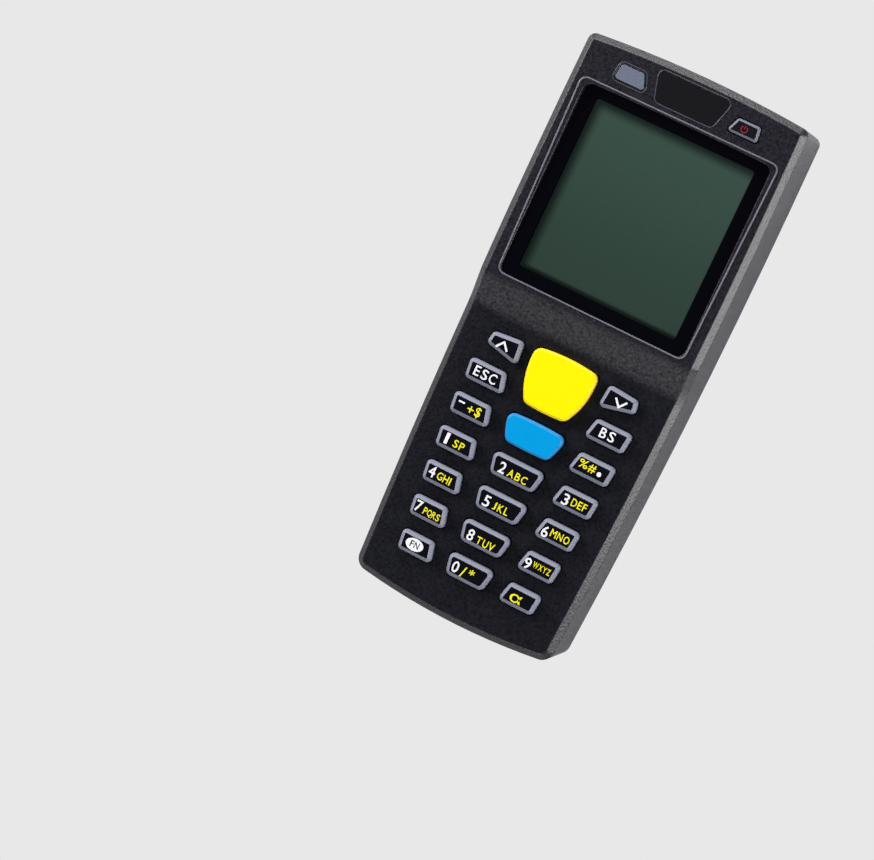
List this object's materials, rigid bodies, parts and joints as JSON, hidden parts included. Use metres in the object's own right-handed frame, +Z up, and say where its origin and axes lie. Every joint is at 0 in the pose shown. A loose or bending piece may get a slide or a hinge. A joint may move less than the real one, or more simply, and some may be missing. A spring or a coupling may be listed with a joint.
{
  "type": "portable barcode data terminal",
  "caption": "Slim handheld scanning terminal with a recessed display over a tapered keypad, a scan window in its head end and a hinged battery door in its back.",
  "frame": {"origin": "bottom centre of the whole, on the plane of the back", "axes": "+X across, +Y towards the head end with the display and scan window, +Z up out of the screen"},
  "size_m": [0.0502, 0.1232, 0.0233],
  "materials": {
    "case_front": "fine grained charcoal moulding",
    "case_rear": "fine grained charcoal moulding",
    "window": "polished lens with a black printed border",
    "plate": "satin black",
    "frame_steel": "pressed sheet",
    "guide": "clear moulding with dot pattern",
    "panel": "grey green liquid crystal panel",
    "status_lens": "smoky translucent",
    "light": "clear epoxy",
    "key_black": "glossy black top, grey translucent bevel",
    "key_yellow": "glossy yellow",
    "key_blue": "glossy blue",
    "dark_plastic": "black thermoplastic",
    "board": "green solder mask",
    "mat": "grey silicone",
    "engine": "anodised housing",
    "optic": "coated lens",
    "scan_pane": "dark red filter",
    "cell": "plain sleeve",
    "spring_steel": "nickel plated strip",
    "pin_steel": "ground pin",
    "sounder": "brass disc sounder",
    "screw_steel": "zinc plated"
  },
  "bodies": {
    "housing": {"front_case": "case_front", "rear_case": "case_rear", "display_window": "window", "name_plate": "plate", "lcd_frame": "frame_steel", "light_guide": "guide", "lcd_panel": "panel", "status_lens": "status_lens", "status_light": "light", "power_switch": "dark_plastic", "main_board": "board", "keypad_mat": "mat", "scan_engine": "engine", "scan_lens": "optic", "scan_window": "scan_pane", "battery_cells": "cell", "battery_contacts": "spring_steel", "data_jack": "dark_plastic", "strap_pin": "pin_steel", "sounder": "sounder", "memory_cell": "pin_steel", "vibration_motor": "frame_steel", "board_chips": "dark_plastic", "case_screws": "screw_steel", "board_screws": "screw_steel"},
    "key_up_press": {"key_up": "key_black"},
    "key_down_press": {"key_down": "key_black"},
    "key_scan_press": {"key_scan": "key_yellow"},
    "key_enter_press": {"key_enter": "key_blue"},
    "key_escape_press": {"key_escape": "key_black"},
    "key_backspace_press": {"key_backspace": "key_black"},
    "key_minus_press": {"key_minus": "key_black"},
    "key_percent_press": {"key_percent": "key_black"},
    "key_1_press": {"key_1": "key_black"},
    "key_3_press": {"key_3": "key_black"},
    "key_4_press": {"key_4": "key_black"},
    "key_6_press": {"key_6": "key_black"},
    "key_7_press": {"key_7": "key_black"},
    "key_9_press": {"key_9": "key_black"},
    "key_fn_press": {"key_fn": "key_black"},
    "key_alpha_press": {"key_alpha": "key_black"},
    "key_2_press": {"key_2": "key_black"},
    "key_5_press": {"key_5": "key_black"},
    "key_8_press": {"key_8": "key_black"},
    "key_0_press": {"key_0": "key_black"},
    "power_press": {"power_key": "key_black"},
    "door": {"battery_door": "case_rear", "door_latch": "case_rear"}
  },
  "joints": [
    {"name": "key_up_travel", "type": "slide", "parent": "housing", "child": "key_up_press", "axis": [0, 0, -1], "range_m": [0, 0.0009], "stiffness_N_per_m": 800},
    {"name": "key_down_travel", "type": "slide", "parent": "housing", "child": "key_down_press", "axis": [0, 0, -1], "range_m": [0, 0.0009], "stiffness_N_per_m": 800},
    {"name": "key_scan_travel", "type": "slide", "parent": "housing", "child": "key_scan_press", "axis": [0, 0, -1], "range_m": [0, 0.0009], "stiffness_N_per_m": 800},
    {"name": "key_enter_travel", "type": "slide", "parent": "housing", "child": "key_enter_press", "axis": [0, 0, -1], "range_m": [0, 0.0009], "stiffness_N_per_m": 800},
    {"name": "key_escape_travel", "type": "slide", "parent": "housing", "child": "key_escape_press", "axis": [0, 0, -1], "range_m": [0, 0.0009], "stiffness_N_per_m": 800},
    {"name": "key_backspace_travel", "type": "slide", "parent": "housing", "child": "key_backspace_press", "axis": [0, 0, -1], "range_m": [0, 0.0009], "stiffness_N_per_m": 800},
    {"name": "key_minus_travel", "type": "slide", "parent": "housing", "child": "key_minus_press", "axis": [0, 0, -1], "range_m": [0, 0.0009], "stiffness_N_per_m": 800},
    {"name": "key_percent_travel", "type": "slide", "parent": "housing", "child": "key_percent_press", "axis": [0, 0, -1], "range_m": [0, 0.0009], "stiffness_N_per_m": 800},
    {"name": "key_1_travel", "type": "slide", "parent": "housing", "child": "key_1_press", "axis": [0, 0, -1], "range_m": [0, 0.0009], "stiffness_N_per_m": 800},
    {"name": "key_3_travel", "type": "slide", "parent": "housing", "child": "key_3_press", "axis": [0, 0, -1], "range_m": [0, 0.0009], "stiffness_N_per_m": 800},
    {"name": "key_4_travel", "type": "slide", "parent": "housing", "child": "key_4_press", "axis": [0, 0, -1], "range_m": [0, 0.0009], "stiffness_N_per_m": 800},
    {"name": "key_6_travel", "type": "slide", "parent": "housing", "child": "key_6_press", "axis": [0, 0, -1], "range_m": [0, 0.0009], "stiffness_N_per_m": 800},
    {"name": "key_7_travel", "type": "slide", "parent": "housing", "child": "key_7_press", "axis": [0, 0, -1], "range_m": [0, 0.0009], "stiffness_N_per_m": 800},
    {"name": "key_9_travel", "type": "slide", "parent": "housing", "child": "key_9_press", "axis": [0, 0, -1], "range_m": [0, 0.0009], "stiffness_N_per_m": 800},
    {"name": "key_fn_travel", "type": "slide", "parent": "housing", "child": "key_fn_press", "axis": [0, 0, -1], "range_m": [0, 0.0009], "stiffness_N_per_m": 800},
    {"name": "key_alpha_travel", "type": "slide", "parent": "housing", "child": "key_alpha_press", "axis": [0, 0, -1], "range_m": [0, 0.0009], "stiffness_N_per_m": 800},
    {"name": "key_2_travel", "type": "slide", "parent": "housing", "child": "key_2_press", "axis": [0, 0, -1], "range_m": [0, 0.0009], "stiffness_N_per_m": 800},
    {"name": "key_5_travel", "type": "slide", "parent": "housing", "child": "key_5_press", "axis": [0, 0, -1], "range_m": [0, 0.0009], "stiffness_N_per_m": 800},
    {"name": "key_8_travel", "type": "slide", "parent": "housing", "child": "key_8_press", "axis": [0, 0, -1], "range_m": [0, 0.0009], "stiffness_N_per_m": 800},
    {"name": "key_0_travel", "type": "slide", "parent": "housing", "child": "key_0_press", "axis": [0, 0, -1], "range_m": [0, 0.0009], "stiffness_N_per_m": 800},
    {"name": "power_key_travel", "type": "slide", "parent": "housing", "child": "power_press", "axis": [0, 0, -1], "range_m": [0, 0.0004], "stiffness_N_per_m": 800},
    {"name": "battery_door_hinge", "type": "hinge", "parent": "housing", "child": "door", "pos_m": [0, -0.0489, 0.0015], "axis": [-1, 0, 0], "range_deg": [0, 85], "deforming": ["door_latch"]}
  ]
}
